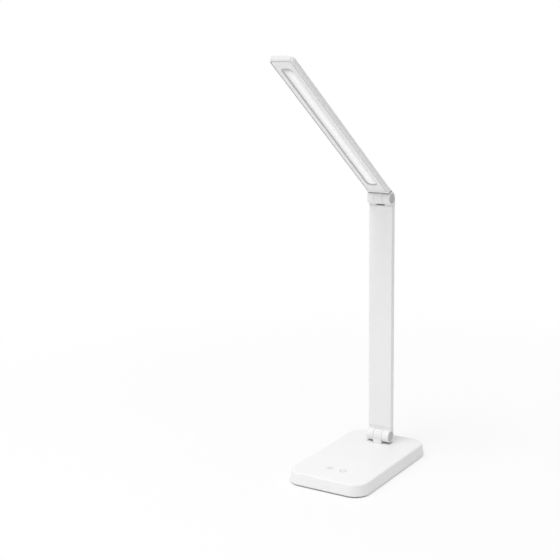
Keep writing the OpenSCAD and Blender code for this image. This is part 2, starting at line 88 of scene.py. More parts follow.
# Outline with round corners: (cx + r cos t, cy + r sin t) over a quarter turn at each corner,
# with even steps along the straight sides between them
def roundedLoop(width, start, end, startRadius, endRadius, arc, side):
    half = width / 2
    radii = np.array([endRadius, endRadius, startRadius, startRadius])
    centres = np.array([
        (half - endRadius, end - endRadius), (endRadius - half, end - endRadius),
        (startRadius - half, start + startRadius), (half - startRadius, start + startRadius),
    ])
    t = (np.arange(4)[:, None] + np.linspace(0, 1, arc + 1)) * np.pi / 2
    corners = centres[:, None] + radii[:, None, None] * np.stack([np.cos(t), np.sin(t)], -1)
    here, there = corners[:, -1:], np.roll(corners, -1, 0)[:, :1]
    steps = np.linspace(0, 1, side + 1)[1:-1, None]
    return np.concatenate([corners, here + (there - here) * steps], 1).reshape(-1, 2)


# Rows (inset, height, shrink) of one outline: ((x, y) inset from the edge) * shrink about the
# middle, at the height
def levelled(width, start, end, startRadius, endRadius, rows, arc, side):
    middle = np.array([0, (start + end) / 2])
    grid = []
    for inset, height, shrink in rows:
        loop = roundedLoop(width - 2 * inset, start + inset, end - inset,
                           max(startRadius - inset, hair), max(endRadius - inset, hair), arc, side)
        loop = middle + (loop - middle) * shrink
        grid.append(np.column_stack([loop, np.full(len(loop), height)]))
    return np.array(grid)


# Rows of a rounded edge: (inset + r (1 - cos a), height + r sin a), a over a quarter turn
# Down turns it over, with its sine taken away from the height
def edgeRows(inset, height, radius, down=False, steps=4):
    a = np.linspace(0, np.pi / 2, steps + 1)
    rise = radius * np.sin(a) * (-1 if down else 1)
    rows = np.column_stack([inset + radius * (1 - np.cos(a)), height + rise, np.ones(steps + 1)])
    return rows[::-1] if down else rows


# A profile (radius, distance along the axis) turned round X: (d, r cos t, r sin t)
def turned(profile, steps=64):
    profile = np.array(profile, float)
    t = np.linspace(0, 2 * np.pi, steps, endpoint=False)
    r, d = profile[:, :1], profile[:, 1:]
    return np.stack([d + 0 * t, r * np.cos(t), r * np.sin(t)], -1)


# Quads between neighbouring points of a grid
def gridQuads(rows, columns, closeRows):
    i = np.arange(rows if closeRows else rows - 1)[:, None]
    j = np.arange(columns)[None]
    nextRow, nextColumn = (i + 1) % rows, (j + 1) % columns
    corners = [(i, j), (i, nextColumn), (nextRow, nextColumn), (nextRow, j)]
    return np.stack([row * columns + column for row, column in corners], -1).reshape(-1, 4)


# Ways of laying a shape's own (x, y, z) into the lamp
def atLowerPin(p):
    return p + lowerPin


def atUpperPin(p):
    return p + upperPin


headLean = np.radians(53)  # from straight up to the rest pose, which is 37 degrees above level


# (x, y cos a - z sin a, y sin a + z cos a) about the upper pin
def inHead(p):
    x, y, z = np.moveaxis(p, -1, 0)
    c, s = np.cos(headLean), np.sin(headLean)
    return np.stack([x, y * c - z * s, y * s + z * c], -1) + upperPin


# The way back: each point of a mesh in a shape's own (x, y, z) in millimetres
def placesFrom(mesh, pin, lean=0.0):
    co = np.empty(len(mesh.vertices) * 3)
    mesh.vertices.foreach_get("co", co)
    x, y, z = (co.reshape(-1, 3) / mm - pin).T
    return x, y * np.cos(lean) + z * np.sin(lean), z * np.cos(lean) - y * np.sin(lean)


# Stores on each point how much painted shade lies there, from 0 to 1
def keepPaintedShade(mesh, values):
    paintedShade = mesh.attributes.new("paintedShade", "FLOAT", "POINT")
    paintedShade.data.foreach_set("value", np.asarray(values, dtype=np.float32))


# A plan in (x, y) with heights becomes a plan in (x, z) with heights along y
def upright(p):
    return p[..., [0, 2, 1]]


def linkMesh(name, mesh):
    piece = bpy.data.objects.new(name, mesh)
    bpy.context.scene.collection.objects.link(piece)
    return piece


sharpAngle = np.radians(32)
mergeWithin = 0.0005


# Smooth faces, with a crease where two faces meet at more than the angle
def smoothed(mesh):
    mesh.shade_smooth()
    mesh.set_sharp_from_angle(angle=sharpAngle)


# One mesh of several grids of points, each with its last row joined to its first or not
def surfaceMesh(name, surfaces):
    points, quads, count = [], [], 0
    for grid, closeRows in surfaces:
        rows, columns = grid.shape[:2]
        points.append(grid.reshape(-1, 3) * mm)
        quads.append(gridQuads(rows, columns, closeRows) + count)
        count += rows * columns
    mesh = bpy.data.meshes.new(name)
    mesh.from_pydata(np.concatenate(points).tolist(), [], np.concatenate(quads).tolist())
    tidy = bmesh.new()
    tidy.from_mesh(mesh)
    bmesh.ops.remove_doubles(tidy, verts=tidy.verts, dist=mergeWithin * mm)
    bmesh.ops.recalc_face_normals(tidy, faces=tidy.faces)
    tidy.to_mesh(mesh)
    tidy.free()
    smoothed(mesh)
    return mesh


# Takes closed shapes away from a mesh
def carved(mesh, cutters):
    piece = linkMesh("carving", mesh)
    tools = [linkMesh("tool", surfaceMesh("tool", [cutter])) for cutter in cutters]
    for tool in tools:
        cut = piece.modifiers.new("cut", "BOOLEAN")
        cut.operation, cut.solver, cut.object = "DIFFERENCE", "EXACT", tool
    bpy.context.view_layer.update()
    whole = piece.evaluated_get(bpy.context.evaluated_depsgraph_get())
    result = bpy.data.meshes.new_from_object(whole)
    for thing in [piece, *tools]:
        data = thing.data
        bpy.data.objects.remove(thing)
        bpy.data.meshes.remove(data)
    smoothed(result)
    return result


def finishPiece(name, mesh, body, slotName, finish, *nodes):
    mesh.name = name
    mesh.materials.clear()
    mesh.materials.append(finish)
    piece = linkMesh(name, mesh)
    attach(piece, body)
    if nodes:
        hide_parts(*nodes)
    return piece


softEdge = {"plate": 0.25, "hinge": 0.3, "steps": 3, "mergeWithin": 0.002, "flatWithin": 0.5}


# A copy of a CAD node whose sharp edges get a small radius, as a moulded piece has
def softened(name, node, body, slotName, finish, radius):
    mesh = frame["nodes"][node].data.copy()
    tidy = bmesh.new()
    tidy.from_mesh(mesh)
    bmesh.ops.remove_doubles(tidy, verts=tidy.verts, dist=softEdge["mergeWithin"] * mm)
    bmesh.ops.dissolve_limit(tidy, angle_limit=np.radians(softEdge["flatWithin"]),
                             verts=tidy.verts, edges=tidy.edges)
    tidy.to_mesh(mesh)
    tidy.free()
    if "custom_normal" in mesh.attributes:
        mesh.attributes.remove(mesh.attributes["custom_normal"])
    smoothed(mesh)
    piece = finishPiece(name, mesh, body, slotName, finish, node)
    bevel = piece.modifiers.new("edges", "BEVEL")
    bevel.width, bevel.segments = radius * mm, softEdge["steps"]
    bevel.limit_method, bevel.angle_limit = "ANGLE", sharpAngle
    bevel.harden_normals = True


# Materials, each made of nodes on the object's own coordinates
def addNode(tree, kind, inputs=None, **settings):
    node = tree.nodes.new(kind)
    for key, value in settings.items():
        setattr(node, key, value)
    for key, value in (inputs or {}).items():
        if isinstance(value, bpy.types.NodeSocket):
            tree.links.new(value, node.inputs[key])
        else:
            node.inputs[key].default_value = value
    return node


def newMaterial(name):
    material = bpy.data.materials.new(name)
    material.use_nodes = True
    tree = material.node_tree
    tree.nodes.clear()
    shader = addNode(tree, "ShaderNodeBsdfPrincipled")
    out = addNode(tree, "ShaderNodeOutputMaterial")
    tree.links.new(shader.outputs["BSDF"], out.inputs["Surface"])
    place = addNode(tree, "ShaderNodeTexCoord").outputs["Object"]
    return material, tree, shader, place


# Single nodes of arithmetic on sockets, numbers or vectors
def calc(tree, operation, *values, **settings):
    values = dict(enumerate(values))
    return addNode(tree, "ShaderNodeMath", values, operation=operation, **settings).outputs[0]


def vectorCalc(tree, operation, *values):
    node = addNode(tree, "ShaderNodeVectorMath", dict(enumerate(values)), operation=operation)
    return node.outputs["Value" if operation == "LENGTH" else "Vector"]


def parts(tree, place):
    return addNode(tree, "ShaderNodeSeparateXYZ", {0: place}).outputs


def noise(tree, place, size, detail=2.0, rough=0.5):
    inputs = {"Vector": place, "Scale": 1 / (size * mm), "Detail": detail, "Roughness": rough}
    return addNode(tree, "ShaderNodeTexNoise", inputs).outputs["Fac"]


def ranged(tree, value, low, high, fromLow=0.3, fromHigh=0.7):
    inputs = {"Value": value, "From Min": fromLow, "From Max": fromHigh,
              "To Min": low, "To Max": high}
    return addNode(tree, "ShaderNodeMapRange", inputs).outputs["Result"]


# The same over a length that starts and ends at so many millimetres
def byLength(tree, value, low, high, start, end):
    return ranged(tree, value, low, high, start * mm, end * mm)


def mixed(tree, factor, first, second):
    mix = addNode(tree, "ShaderNodeMix", data_type="RGBA")
    for socket, value in zip([mix.inputs[i] for i in (0, 6, 7)], (factor, first, second)):
        if isinstance(value, bpy.types.NodeSocket):
            tree.links.new(value, socket)
        else:
            socket.default_value = (*value, 1)
    return mix.outputs[2]


def tinted(colour, share):
    return tuple(min(c * share, 1) for c in colour)


def bumped(tree, shader, height, depth):
    bump = addNode(tree, "ShaderNodeBump", {"Height": height, "Distance": depth * mm})
    tree.links.new(bump.outputs["Normal"], shader.inputs["Normal"])


# Where the painted shade by a hinge starts and stops: outside the barrel and inside it, from the
# pin's axis; past the barrel's ends; and beside the middle of each split
hingeShadeEdge = {"outside": (7.08, 7.25), "inside": (7.05, 7.2), "ends": 0.4, "splits": (0.25, 0.5)}


# Painted shade at a point by a hinge, from its distance r to the pin and |x| to the middle plane
# Round the barrel: the strength where r is near, falling evenly to 0 where r is far
# In the splits beside the knuckle: splitShade, falling evenly to 0 as |x| moves off the split
def paintedHingeShade(tree, place, h):
    away = vectorCalc(tree, "SUBTRACT", place, tuple(h["pin"] * mm))
    r = vectorCalc(tree, "LENGTH", vectorCalc(tree, "MULTIPLY", away, (0, 1, 1)))
    x = calc(tree, "ABSOLUTE", parts(tree, place)[0])
    gap = byLength(tree, r, h["strength"], 0, h["near"], h["far"])
    for limit in (byLength(tree, r, 0, 1, *hingeShadeEdge["outside"]),
                  byLength(tree, x, 1, 0, h["half"], h["half"] + hingeShadeEdge["ends"])):
        gap = calc(tree, "MULTIPLY", gap, limit)
    off = calc(tree, "ABSOLUTE", calc(tree, "SUBTRACT", x, h["split"] * mm))
    split = byLength(tree, off, h["splitShade"], 0, *hingeShadeEdge["splits"])
    within = byLength(tree, r, 1, 0, *hingeShadeEdge["inside"])
    return calc(tree, "MULTIPLY_ADD", split, within, gap)


# The painted shade in seams and by the hinges darkens the plastic to this share of its colour
plastic = {"cloudSize": 28, "glossSize": 9, "wornFrom": (0.52, 0.6), "dustAndShade": 0.25, "ior": 1.49}


# Moulded plastic: a fine even grain, faint clouding in colour and gloss, and edges rubbed a
# little brighter. Shade is painted into its seams: where the mesh holds a painted shade value,
# and round the barrels of the hinges that are given.
def mouldedPlastic(name, colour, roughness=(0.42, 0.5), grain=0.35, depth=0.006, cloud=0.985,
                   wear=1.015, hinges=()):
    material, tree, shader, place = newMaterial(name)
    clouds = noise(tree, place, plastic["cloudSize"], detail=3)
    edges = addNode(tree, "ShaderNodeNewGeometry").outputs["Pointiness"]
    tone = mixed(tree, ranged(tree, clouds, 0, 1), tinted(colour, cloud), colour)
    worn = ranged(tree, edges, 0, 1, *plastic["wornFrom"])
    tone = mixed(tree, worn, tone, tinted(colour, wear))
    dustAndShade = tinted(colour, plastic["dustAndShade"])
    paintedShade = addNode(tree, "ShaderNodeAttribute", attribute_name="paintedShade").outputs["Fac"]
    tone = mixed(tree, paintedShade, tone, dustAndShade)
    for hinge in hinges:
        tone = mixed(tree, paintedHingeShade(tree, place, hinge), tone, dustAndShade)
    gloss = noise(tree, place, plastic["glossSize"])
    tree.links.new(tone, shader.inputs["Base Color"])
    tree.links.new(ranged(tree, gloss, *roughness), shader.inputs["Roughness"])
    shader.inputs["IOR"].default_value = plastic["ior"]
    bumped(tree, shader, noise(tree, place, grain), depth)
    return material


# Metal with fine lines drawn along one axis, and darker in every other line
def drawnMetal(name, colour, roughness=(0.22, 0.38), stretch=(1, 1, 0.04), size=0.25,
               depth=0.003, dark=0.86):
    material, tree, shader, place = newMaterial(name)
    along = addNode(tree, "ShaderNodeMapping", {"Vector": place, "Scale": stretch})
    lines = noise(tree, along.outputs["Vector"], size, detail=3)
    tone = mixed(tree, ranged(tree, lines, 0, 1), tinted(colour, dark), colour)
    tree.links.new(tone, shader.inputs["Base Color"])
    tree.links.new(ranged(tree, lines, *roughness), shader.inputs["Roughness"])
    shader.inputs["Metallic"].default_value = 1
    bumped(tree, shader, lines, depth)
    return material


waveStep = 0.314  # a wave texture of scale 1 repeats after this length


def aboutPin(tree, place, pin):
    moved = addNode(tree, "ShaderNodeMapping", {"Vector": place, "Location": tuple(-pin * mm)})
    return moved.outputs["Vector"]


# Satin discs with rings turned about a pin: height = 0.5 + 0.5 sin(2 pi r / pitch)
def turnedFinish(name, colour, pin, pitch=0.35, dark=0.9):
    material, tree, shader, place = newMaterial(name)
    rings = addNode(tree, "ShaderNodeTexWave", {
        "Vector": aboutPin(tree, place, pin), "Scale": waveStep / (pitch * mm),
        "Distortion": 0.15, "Detail": 1.0,
    }, wave_type="RINGS", rings_direction="X").outputs["Fac"]
    clouds = noise(tree, place, size=2.5, detail=3)
    tone = mixed(tree, ranged(tree, clouds, 0, 1), tinted(colour, dark), colour)
    tree.links.new(tone, shader.inputs["Base Color"])
    tree.links.new(ranged(tree, rings, 0.36, 0.46, 0, 1), shader.inputs["Roughness"])
    bumped(tree, shader, rings, depth=0.004)
    return material


# Rubber: dull, with a coarse grain and pale dust in patches
def rubber(name, colour, dustAndShade, size=0.5, depth=0.03):
    material, tree, shader, place = newMaterial(name)
    patches = noise(tree, place, size=14, detail=4, rough=0.6)
    tone = mixed(tree, ranged(tree, patches, 0, 0.35, 0.5, 0.75), colour, dustAndShade)
    tree.links.new(tone, shader.inputs["Base Color"])
    tree.links.new(ranged(tree, patches, 0.68, 0.85), shader.inputs["Roughness"])
    bumped(tree, shader, noise(tree, place, size, detail=3), depth)
    return material


opalLook = {
    "colour": (0.86, 0.86, 0.86), "frost": 0.97,  # the frost's darker spots, as a share
    "glow": 0.2, "between": 0.93,  # the glow over a diode, and its share half-way to the next
    "pitch": 7.32,  # of the diodes
    "acrossFall": (0.7, 6),  # |x| where the glow starts to fall, and where it ends
    "tipFall": (222, 232),  # along the bar, the same
    "tipShade": (229, 236), "shade": 0.45,  # where the tip's shade comes in, and how dark it is
}


# The diffuser glows a little more over each diode, as 0.5 + 0.5 sin(2 pi z / pitch), and less
# away from the middle line and towards the tip, where the window's end shades it as well
def litOpal(name, look):
    material, tree, shader, place = newMaterial(name)
    along = addNode(tree, "ShaderNodeMapping", {
        "Vector": aboutPin(tree, place, upperPin), "Rotation": (-headLean, 0, 0),
    }).outputs["Vector"]
    spots = addNode(tree, "ShaderNodeTexWave", {
        "Vector": along, "Scale": waveStep / (look["pitch"] * mm), "Distortion": 0.0,
    }, wave_type="BANDS", bands_direction="Z").outputs["Fac"]
    bar = parts(tree, along)
    frost = noise(tree, place, size=0.4, detail=3)
    colour = look["colour"]
    tone = mixed(tree, ranged(tree, frost, 0, 1), tinted(colour, look["frost"]), colour)
    shaded = byLength(tree, bar["Z"], 0, 1, *look["tipShade"])
    tone = mixed(tree, shaded, tone, tinted(colour, look["shade"]))
    glow = ranged(tree, spots, look["glow"] * look["between"], look["glow"], 0, 1)
    across = calc(tree, "ABSOLUTE", bar["X"])
    for share in (byLength(tree, across, 1, 0, *look["acrossFall"]),
                  byLength(tree, bar["Z"], 1, 0, *look["tipFall"])):
        glow = calc(tree, "MULTIPLY", glow, share)
    tree.links.new(tone, shader.inputs["Base Color"])
    tree.links.new(glow, shader.inputs["Emission Strength"])
    shader.inputs["Emission Color"].default_value = (1, 1, 1, 1)
    tree.links.new(ranged(tree, frost, 0.3, 0.42), shader.inputs["Roughness"])
    bumped(tree, shader, frost, depth=0.008)
    return material


# A circuit board: tracks along the joints of a brick pattern, under glossy lacquer
def circuitBoard(name, colour, track, cell=6):
    material, tree, shader, place = newMaterial(name)
    bricks = addNode(tree, "ShaderNodeTexBrick", {
        "Vector": place, "Scale": 1 / (cell * mm), "Color1": (0, 0, 0, 1), "Color2": (0, 0, 0, 1),
        "Mortar": (1, 1, 1, 1), "Mortar Size": 0.035, "Brick Width": 0.7, "Row Height": 0.31,
    }).outputs["Color"]
    lines = addNode(tree, "ShaderNodeRGBToBW", {"Color": bricks}).outputs["Val"]
    tree.links.new(mixed(tree, lines, colour, track), shader.inputs["Base Color"])
    gloss = noise(tree, place, size=1.5)
    tree.links.new(ranged(tree, gloss, 0.25, 0.4), shader.inputs["Roughness"])
    bumped(tree, shader, lines, depth=0.03)
    return material


# Painted shade by the hinges: its strength from near to far round the barrel, the splits beside
# the knuckle and their shade, and half the barrel's width
barrel = {"pin": lowerPin, "near": 7.3, "far": 8.4, "strength": 0.12,
          "split": 5.15, "splitShade": 0.22, "half": 14.3}
underBarrel = barrel | {"near": 8.1, "far": 9.8, "strength": 0.75}
upperBarrel = barrel | {"pin": upperPin, "strength": 0.25, "splitShade": 0.12}
underHead = barrel | {"pin": upperPin, "near": 8.2, "far": 9.2, "strength": 0.9}
overSlot = underHead | {"near": 7.9, "far": 8.8, "splitShade": 0, "half": 4.9}

plain, baseTone = (0.87, 0.87, 0.87), (0.885, 0.885, 0.885)
white = mouldedPlastic("white moulded plastic", plain)
# The base, block and hinge plastics have painted shade round the hinge barrels: in the gaps, in the
# splits, under the ears and under the head
baseWhite = mouldedPlastic("white base plastic", baseTone, hinges=[underBarrel])
blockWhite = mouldedPlastic("white block plastic", plain, hinges=[underHead])
lowerWhite = mouldedPlastic("white lower hinge plastic", plain, hinges=[barrel])
upperWhite = mouldedPlastic("white upper hinge plastic", plain, hinges=[upperBarrel, overSlot])
armWhite = mouldedPlastic("white arm lacquer", plain, roughness=(0.36, 0.44), grain=0.5,
                          depth=0.003)
palePlate = mouldedPlastic("pale grey plate", (0.6, 0.6, 0.6), roughness=(0.55, 0.66),
                           grain=0.45, depth=0.02)
blackPlastic = mouldedPlastic("black moulded plastic", (0.02, 0.02, 0.021), cloud=0.8, wear=1.6)
printGrey = mouldedPlastic("grey print", (0.46, 0.46, 0.47), roughness=(0.5, 0.6), cloud=0.95)
steel = drawnMetal("plated steel", (0.58, 0.58, 0.59))
foil = drawnMetal("battery foil", (0.66, 0.66, 0.68), roughness=(0.4, 0.55),
                  stretch=(1, 1, 1), size=2.5, depth=0.05)
shellSteel = drawnMetal("socket steel", (0.62, 0.62, 0.63), roughness=(0.18, 0.3),
                        stretch=(1, 0.04, 1))
copper = drawnMetal("touch copper", (0.75, 0.44, 0.26), roughness=(0.3, 0.45),
                    stretch=(0.05, 1, 1))
cableGrey = rubber("grey cable", (0.1, 0.1, 0.1), (0.16, 0.16, 0.16), size=0.8, depth=0.01)
padRubber = rubber("dark pad rubber", (0.045, 0.045, 0.047), (0.2, 0.2, 0.2))
greenBoard = circuitBoard("green board", (0.02, 0.12, 0.05), (0.06, 0.27, 0.1))
whiteBoard = circuitBoard("white lamp board", (0.78, 0.78, 0.76), (0.6, 0.6, 0.56))
phosphor = mouldedPlastic("yellow phosphor", (0.86, 0.68, 0.16), roughness=(0.3, 0.45), cloud=0.9)
opal = litOpal("lit opal", opalLook)
lowerCapFinish = turnedFinish("lower cap grey", (0.58, 0.58, 0.59), lowerPin)
upperCapFinish = turnedFinish("upper cap grey", (0.52, 0.52, 0.53), upperPin)
print("materials made")

# The base's cover
baseShell = {
    "width": 94, "length": 158, "corner": 18, "foot": 1.6, "footEdge": 0.5, "edgeStart": 12.2,
    "edge": 2, "draft": 1.5, "side": 1.8, "lip": 1.6, "ceiling": 12.2, "plateTop": 3.6,
    "ceilingLap": 0.6, "topLap": 0.5,  # strips beside the edges that keep their shading crisp
    "neckHole": (10.3, 14.3), "neckCorner": 0.6, "holeEdge": 0.35, "neckCut": (5, 2),
    "socketHole": (9.2, 3.5), "socketHeight": 9.2, "socketCut": 6,
    "socketFlare": 0.5,  # the mouth opens by 0.3 of this below the surface and by 1.6 of it above
}


# Rows from the hollow's ceiling down its wall, round the foot, up the side as inset = draft * t,
# and over the top's rounded edge; the two holes are cut out of it
def makeBaseShell(b):
    inner, ceiling = b["draft"] + b["side"], b["ceiling"]
    top = b["edgeStart"] + b["edge"]
    footTop = b["foot"] + b["footEdge"]
    flat = b["draft"] + b["edge"] + b["topLap"]
    rows = [
        (inner, ceiling, 0), (inner, ceiling, 0.5), (inner + b["ceilingLap"], ceiling, 1),
        (inner, ceiling, 1), (inner, b["plateTop"], 1),
        (b["lip"], b["plateTop"], 1), (b["lip"], b["foot"], 1),
        *edgeRows(0, footTop, b["footEdge"], down=True),
        *[(b["draft"] * t, footTop + (b["edgeStart"] - footTop) * t, 1) for t in (0.25, 0.5, 0.75)],
        *edgeRows(b["draft"], b["edgeStart"], b["edge"], steps=8),
        (flat, top, 1), (flat, top, 0.5), (flat, top, 0),
    ]
    half = b["length"] / 2
    grid = levelled(b["width"], -half, half, b["corner"], b["corner"], rows, arc=24, side=6)
    w, l = b["neckHole"]
    y = lowerPin[1]
    e, (deep, over) = b["holeEdge"], b["neckCut"]
    rim = [(-e * (1 - np.cos(a)), top - e + e * np.sin(a), 1)
           for a in np.linspace(0.4, np.pi / 2, 4)]
    neckRows = [(0, ceiling - deep, 0), (0, ceiling - deep, 1), (0, top - e, 1), *rim,
                (-e, top + over, 1), (-e, top + over, 0)]
    neckHole = levelled(w, y - l / 2, y + l / 2, b["neckCorner"], b["neckCorner"], neckRows, 4, 2)
    w, h = b["socketHole"]
    f, deep = b["socketFlare"], b["socketCut"]
    lean = b["draft"] * (b["socketHeight"] - b["foot"]) / (b["edgeStart"] - b["foot"])
    outer = half - lean
    socketRows = [
        (0, outer - deep, 0), (0, outer - deep, 1), (0, outer - f, 1),
        (-f * 0.3, outer - f * 0.3, 1), (-f * 1.6, outer + f, 1), (-f * 1.6, outer + f, 0),
    ]
    bend = h / 2 - hair
    socketHole = upright(levelled(w, -h / 2, h / 2, bend, bend, socketRows, arc=12, side=2))
    socketHole = socketHole + (0, 0, b["socketHeight"])
    mesh = surfaceMesh("shell", [(grid, False)])
    mesh = carved(mesh, [(neckHole, False), (socketHole, False)])
    finishPiece("BaseShell", mesh, "base", "white_plastic", baseWhite, "base_cover")


makeBaseShell(baseShell)

# Bottom plate, and the rubber pad under it with rows of round dimples
rubberPad = {
    "width": 60, "length": 120, "corner": 4, "top": 2.2, "edge": 0.5, "cell": 0.75, "pitch": 6,
    "dimple": 1.9, "depth": 0.4, "steep": 1.3,
    "margin": 0.75,  # of the corner radius, from the rim to the dimpled field
}


# Underside height = depth * smooth(steep (1 - r / dimple)), r measured from the nearest point of
# a square lattice
def makePad(p):
    width, length, pitch = p["width"], p["length"], p["pitch"]
    rows = [(0, p["top"], 0), (0, p["top"], 1), *edgeRows(0, p["edge"], p["edge"], down=True)[::-1]]
    rim = levelled(width, -length / 2, length / 2, p["corner"], p["corner"], rows, arc=10, side=8)
    mesh = surfaceMesh("pad", [(rim, False)])
    inset = p["corner"] * p["margin"]
    nx, ny = int((width - 2 * inset) / p["cell"]), int((length - 2 * inset) / p["cell"])
    x, y = np.meshgrid(np.linspace(-1, 1, nx) * (width / 2 - inset),
                       np.linspace(-1, 1, ny) * (length / 2 - inset), indexing="ij")
    fromDot = np.hypot(*((q + pitch / 2) % pitch - pitch / 2 for q in (x, y)))
    t = np.clip(p["steep"] * (1 - fromDot / p["dimple"]), 0, 1)
    z = p["depth"] * t * t * (3 - 2 * t)
    sheet = np.stack([x, y, z], -1)
    i, j = np.meshgrid(np.arange(nx - 1), np.arange(ny - 1), indexing="ij")
    corners = [(i, j), (i, j + 1), (i + 1, j + 1), (i + 1, j)]
    quads = np.stack([row * ny + column for row, column in corners], -1).reshape(-1, 4)
    solid = bmesh.new()
    solid.from_mesh(mesh)
    patch = bpy.data.meshes.new("dimples")
    patch.from_pydata((sheet.reshape(-1, 3) * mm).tolist(), [], quads.tolist())
    solid.from_mesh(patch)
    border = [e for e in solid.edges if e.is_boundary]
    bmesh.ops.triangle_fill(solid, edges=border, use_beauty=True, normal=(0, 0, -1))
    bmesh.ops.recalc_face_normals(solid, faces=solid.faces)
    solid.to_mesh(mesh)
    solid.free()
    bpy.data.meshes.remove(patch)
    smoothed(mesh)
    finishPiece("RubberPad", mesh, "base", "pad_rubber", padRubber, "anti_slip_pad")


makePad(rubberPad)
softened("BottomPlate", "base_plate", "base", "underside_plastic", palePlate, softEdge["plate"])
print("base made")

# The fixed column with the lower hinge's middle knuckle
neck = {"width": 10, "radius": 7, "foot": 6.6, "edge": 0.35, "lap": 0.4, "bore": 2.05,
        "block": (34, 24), "blockCorner": 1, "blockTop": 12.2}


# Outline (y, z): up one side, over the pin as (-r cos t, r sin t) and down the other; rings of
# it run across in x, each side's rim by (e (1 - cos a), e (1 - sin a))
def makeNeck(n):
    r, foot, half, e = n["radius"], n["foot"] - lowerPin[2], n["width"] / 2, n["edge"]
    t = np.linspace(0, np.pi, 49)
    steps = 8
    up = np.arange(steps) / steps

    def archLoop(inset):
        q = r - inset
        over = np.column_stack([-q * np.cos(t), q * np.sin(t)])
        left = np.column_stack([np.full(steps, -q), foot * (1 - up)])
        right = np.column_stack([np.full(steps, q), foot * (up + 1 / steps)])
        bottom = np.linspace(q, -q, steps + 1)[1:-1]
        bottom = np.column_stack([bottom, np.full(len(bottom), foot)])
        return np.concatenate([left, over, right, bottom])

    def ring(x, inset):
        loop = archLoop(inset)
        return np.column_stack([np.full(len(loop), x), loop])

    loop = archLoop(0)
    toPin = loop / np.linalg.norm(loop, axis=1)[:, None] * n["bore"]
    hole = [np.column_stack([np.full(len(toPin), s * half), toPin]) for s in (-1, 1)]
    rim = [(e * (1 - np.cos(a)), e * (1 - np.sin(a))) for a in np.linspace(0, np.pi / 2, 5)]
    rings = [hole[0], ring(-half, e + n["lap"]), *[ring(-half + d, inset) for d, inset in rim],
             *[ring(half - d, inset) for d, inset in rim[::-1]], ring(half, e + n["lap"]), hole[1]]
    column = atLowerPin(np.array(rings))
    w, l = n["block"]
    y, corner = lowerPin[1], n["blockCorner"]
    rows = [(0, n["foot"], 0), (0, n["foot"], 1), (0, n["blockTop"], 1), (0, n["blockTop"], 0)]
    block = levelled(w, y - l / 2, y + l / 2, corner, corner, rows, arc=4, side=2)
    mesh = surfaceMesh("neck", [(column, True), (block, False)])
    finishPiece("HingeNeck", mesh, "base", "white_plastic", lowerWhite, "hinge_neck")


makeNeck(neck)
softened("LowerYoke", "lower_yoke", "arm", "white_plastic", lowerWhite, softEdge["hinge"])
softened("UpperYoke", "upper_yoke", "arm", "white_plastic", upperWhite, softEdge["hinge"])
softened("HeadBlock", "head_block", "head", "white_plastic", blockWhite, softEdge["hinge"])

# Grey caps over the hinge pins: a shallow dish with a rounded rim
hingeCap = {"radius": 5.2, "inner": 13.2, "thick": 0.6, "edge": 0.25, "dish": 0.12,
            "dishShare": 0.8, "lap": 0.2, "spigot": 3.6, "depth": 1.2}


# A profile turned about the pin: the dish's face lies at -dish (1 - (q / dishShare)^2), q being
# the share of the radius; then come the flat rim, its rounded edge and the spigot behind
def makeCaps(name, c, lay, finish, node):
    r, out, e, share = c["radius"], c["inner"] + c["thick"], c["edge"], c["dishShare"]
    a = np.linspace(0, np.pi / 2, 5)
    face = [(q * r, out - c["dish"] * (1 - (q / share) ** 2)) for q in (0, 0.2, 0.4, 0.6)]
    rim = zip(r - e + e * np.sin(a), out - e + e * np.cos(a))
    back = c["inner"] - c["depth"]
    profile = [*face, (share * r, out), (r - e - c["lap"], out), *rim,
               (r, c["inner"]), (c["spigot"], c["inner"]), (c["spigot"], back), (0, back)]
    cap = turned(profile)
    mesh = surfaceMesh(name, [(lay(cap), False), (lay(cap * (-1, 1, 1)), False)])
    finishPiece(name, mesh, "arm", "cap_grey", finish, node)


makeCaps("LowerCaps", hingeCap, atLowerPin, lowerCapFinish, "lower_caps")
makeCaps("UpperCaps", hingeCap, atUpperPin, upperCapFinish, "upper_caps")
print("hinges made")

# The arm's tube
armTube = {
    "width": 28, "front": -0.8, "back": 6, "corner": 0.8, "wall": 1.2, "start": 9.6, "end": 259.5,
    "endEdge": 0.2, "endLap": 0.3, "seamWidth": 0.1, "seamShade": 0.75,
    "screwSide": 9.5, "screwUp": 8, "screwHead": 2.05, "screwShank": 1.05, "headDepth": 1,
    "cutFlare": (0.9, 1.2), "cutPast": 0.5,
}


# Rows of one outline along z, with rounded ends and the walls' flat ends, closed into a tube;
# cones for the screws are cut out of its back
def makeTube(t):
    e, wall, start, end, thin = t["endEdge"], t["wall"], t["start"], t["end"], t["seamWidth"]
    seam = e + thin
    rows = [(wall, start, 1), (e + t["endLap"], start, 1), *edgeRows(0, start + e, e, down=True),
            (0, start + seam, 1),
            *[(0, z, 1) for z in np.linspace(start + seam + thin, end - seam - thin, 14)],
            (0, end - seam, 1), *edgeRows(0, end - e, e), (e + t["endLap"], end, 1), (wall, end, 1)]
    corner = t["corner"]
    grid = levelled(t["width"], t["front"], t["back"], corner, corner, rows, arc=6, side=10)
    mesh = surfaceMesh("tube", [(atLowerPin(grid), True)])
    head, shank, (flare, over) = t["screwHead"], t["screwShank"], t["cutFlare"]
    deep = -wall - t["cutPast"]
    profile = [(0, over), (head + flare, over), (head, 0), (shank, -t["headDepth"]),
               (shank, deep), (0, deep)]
    cone = turned(profile, 32)[..., [1, 0, 2]]  # its axis runs along y
    spots = [(x, t["back"], z) for x in (-t["screwSide"], t["screwSide"])
             for z in (start + t["screwUp"], end - t["screwUp"])]
    mesh = carved(mesh, [(atLowerPin(cone + np.array(spot)), False) for spot in spots])
    # Painted shade in the seams at the tube's two ends, where the yokes meet it
    z = placesFrom(mesh, lowerPin)[2]
    keepPaintedShade(mesh, (np.minimum(z - start, end - z) < seam + hair) * t["seamShade"])
    finishPiece("ArmTube", mesh, "arm", "white_plastic", armWhite, "arm_tube")
    return spots


tubeScrews = makeTube(armTube)

